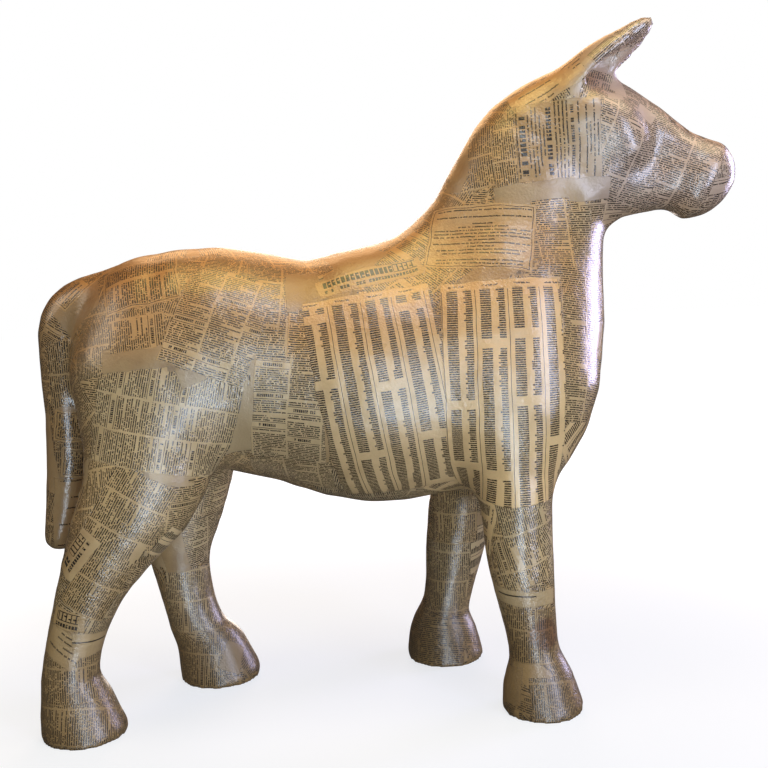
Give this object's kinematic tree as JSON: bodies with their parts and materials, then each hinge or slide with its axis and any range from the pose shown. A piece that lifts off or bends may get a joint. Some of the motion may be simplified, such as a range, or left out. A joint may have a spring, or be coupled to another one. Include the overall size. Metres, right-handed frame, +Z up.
{
  "type": "papier-mache donkey",
  "caption": "Free-standing papier-mache donkey in a walking stance, pasted over with varnished newspaper scraps, on flat hooves.",
  "frame": {"origin": "on the floor, under the middle of the donkey's bounding box", "axes": "+X is the way the donkey faces, +Y its left side, +Z up"},
  "size_m": [0.7916, 0.2674, 0.7431],
  "materials": {
    "varnished_newsprint": "newspaper scraps yellowed by glossy varnish"
  },
  "bodies": {
    "root": {"donkey": "varnished_newsprint"}
  },
  "joints": []
}
